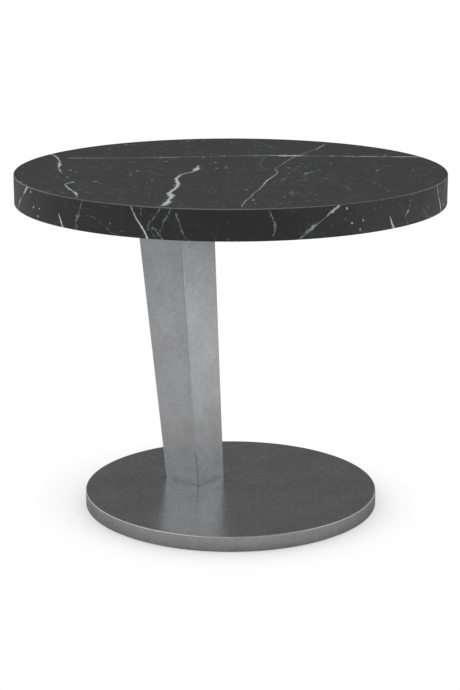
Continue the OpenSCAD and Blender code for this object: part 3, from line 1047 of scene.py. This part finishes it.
def floor():
    """A white floor that can't be seen from below.

    The camera sees plain white with a soft contact shadow. The table sees a matt floor, lit by the lamps,
    painted darker close round the base as a painted shadow, with a faint glow of its own under the base.
    """
    mesh = bpy.data.meshes.new("studio_floor")
    signs = ((-1, -1), (1, -1), (1, 1), (-1, 1))
    corners = [(FLOOR_HALF * x, FLOOR_HALF * y, 0) for x, y in signs]
    mesh.from_pydata(corners, [], [(0, 1, 2, 3)])
    obj = bpy.data.objects.new("studio_floor", mesh)
    bpy.context.scene.collection.objects.link(obj)
    graph = Graph("studio_floor")
    contact = graph.add("ShaderNodeAmbientOcclusion", {"Distance": CONTACT_REACH}, samples=12)
    shade = graph.curve(contact.outputs["AO"], CONTACT_SHADE)
    level = graph.math("MULTIPLY", shade, OPEN_FLOOR_GLOW)
    white = graph.add("ShaderNodeEmission", {"Color": (1, 1, 1), "Strength": level})
    distance = graph.vector_math("LENGTH", graph.add("ShaderNodeTexCoord").outputs["Object"])
    near = graph.math("MINIMUM", distance, 1.0)
    # Painted shadow: the floor gives back less light close round the base.
    albedo = graph.curve(near, FLOOR_ALBEDO)
    lit = graph.add("ShaderNodeBsdfDiffuse", {"Color": graph.scaled((1, 1, 1), albedo)})
    hidden_glow = graph.add("ShaderNodeEmission", {"Color": (1, 1, 1), "Strength": UNDER_BASE_GLOW})
    clear = graph.add("ShaderNodeBsdfTransparent")
    is_under_base = graph.math("LESS_THAN", distance, UNDER_BASE_RADIUS)
    is_camera = graph.add("ShaderNodeLightPath").outputs["Is Camera Ray"]
    is_below = graph.add("ShaderNodeNewGeometry").outputs["Backfacing"]
    shader = lit
    for share, other in ((is_under_base, hidden_glow), (is_camera, white), (is_below, clear)):
        shader = graph.add("ShaderNodeMixShader", {0: share, 1: shader.outputs[0], 2: other.outputs[0]})
    out = graph.add("ShaderNodeOutputMaterial")
    graph.feed(out.inputs["Surface"], shader.outputs[0])
    mesh.materials.append(graph.material)


floor()

CAMERA_AZIMUTH = math.radians(37.62)
SIDE_AXIS = (math.cos(CAMERA_AZIMUTH), math.sin(CAMERA_AZIMUTH), 0)
AWAY_AXIS = (-math.sin(CAMERA_AZIMUTH), math.cos(CAMERA_AZIMUTH), 0)

# How bright each part of the studio is to the table. The camera sees it all as plain white.
BACKDROP_GLOW = 0.109
BACKDROP_TOP_GLOW = 0.175
FRONT_GLOW = 0.23
LEFT_GLOW = 0.54
RIGHT_GLOW = 0.50
CEILING_GLOW = 0.34

world = bpy.data.worlds.new("studio")
bpy.context.scene.world = world
world.use_nodes = True
world.node_tree.nodes.clear()
sky = Graph("studio", world.node_tree)
outward = sky.add("ShaderNodeTexCoord").outputs["Generated"]
across = sky.vector_math("DOT_PRODUCT", outward, SIDE_AXIS)
away = sky.vector_math("DOT_PRODUCT", outward, AWAY_AXIS)
upward = sky.split(outward)["Z"]
# The front and the backdrop blend into the side walls, and all of them into the ceiling.
backdrop = sky.remap(upward, 0.335, 0.42, BACKDROP_GLOW, BACKDROP_TOP_GLOW)
end_glow = sky.remap(away, -0.3, 0.3, FRONT_GLOW, backdrop)
side_glow = sky.remap(across, -0.5, 0.5, LEFT_GLOW, RIGHT_GLOW)
beside = sky.remap(sky.math("ABSOLUTE", across), 0.35, 0.8, smooth=True)
walls = sky.add("ShaderNodeMix", {"Factor": beside, "A": end_glow, "B": side_glow}).outputs["Result"]
overhead = sky.remap(upward, 0.45, 0.85, smooth=True)
glow = sky.add("ShaderNodeMix", {"Factor": overhead, "A": walls, "B": CEILING_GLOW}).outputs["Result"]
seen = sky.math("MAXIMUM", glow, sky.add("ShaderNodeLightPath").outputs["Is Camera Ray"])
background = sky.add("ShaderNodeBackground", {"Color": (1, 1, 1), "Strength": seen})
sky.feed(sky.add("ShaderNodeOutputWorld").inputs["Surface"], background.outputs[0])


def soft_light(name, place, target, size, power):
    """A square area light, size metres across, of power watts, turned to face target."""
    data = bpy.data.lights.new(name, "AREA")
    data.shape = "SQUARE"
    data.size = size
    data.energy = power
    lamp = bpy.data.objects.new(name, data)
    bpy.context.scene.collection.objects.link(lamp)
    lamp.location = place
    lamp.rotation_euler = (Vector(target) - Vector(place)).to_track_quat("-Z", "Y").to_euler()
    return lamp


RIM_DISTANCE = 3.4
RIM_LEFT = (-0.62, 0.55, 0.50)
RIM_RIGHT = (0.62, 0.55, 0.50)


def seen_from_camera(across, away, up):
    """A direction given as the camera sees it, turned into the object's frame."""
    turn = Matrix.Rotation(CAMERA_AZIMUTH, 3, "Z")
    return turn @ Vector((across, away, up))


soft_light("overhead", place=(0, 0, 2.8), target=(0, 0, 0), size=2.0, power=28)
soft_light("overhead_left", place=(-0.6, -1.6, 2.6), target=(0, 0, 0.3), size=1.8, power=13)
# It brightens the floor beside the table, and no reflection shows it.
floor_right = soft_light("floor_right", place=(2.6, 1.0, 2.2), target=(2.2, 0.9, 0), size=1.6, power=19)
floor_right.visible_glossy = False
floor_right.data.spread = math.radians(80)
for name, direction, power in (("rim_left", RIM_LEFT, 9), ("rim_right", RIM_RIGHT, 5)):
    place = seen_from_camera(*direction) * RIM_DISTANCE
    soft_light(name, place=place, target=(0, 0, 0.4), size=1.8, power=power)

# The camera stands CAMERA_DISTANCE from the table's axis. Angles are in radians, the lens in millimetres.
CAMERA_DISTANCE = 3.16723
CAMERA_HEIGHT = 1.13444
CAMERA_PITCH = 0.25847
CAMERA_LENS = 94.502
CAMERA_YAW = 0.0004

camera_data = bpy.data.cameras.new("camera")
camera_data.lens = CAMERA_LENS
camera_data.sensor_width = 36
camera_data.clip_end = 200
camera = bpy.data.objects.new("camera", camera_data)
bpy.context.scene.collection.objects.link(camera)
camera.location = (
    CAMERA_DISTANCE * math.sin(CAMERA_AZIMUTH),
    -CAMERA_DISTANCE * math.cos(CAMERA_AZIMUTH),
    CAMERA_HEIGHT,
)
camera.rotation_euler = (math.pi / 2 - CAMERA_PITCH, 0, CAMERA_AZIMUTH + CAMERA_YAW)
bpy.context.scene.camera = camera
bpy.context.scene.view_settings.view_transform = "Standard"
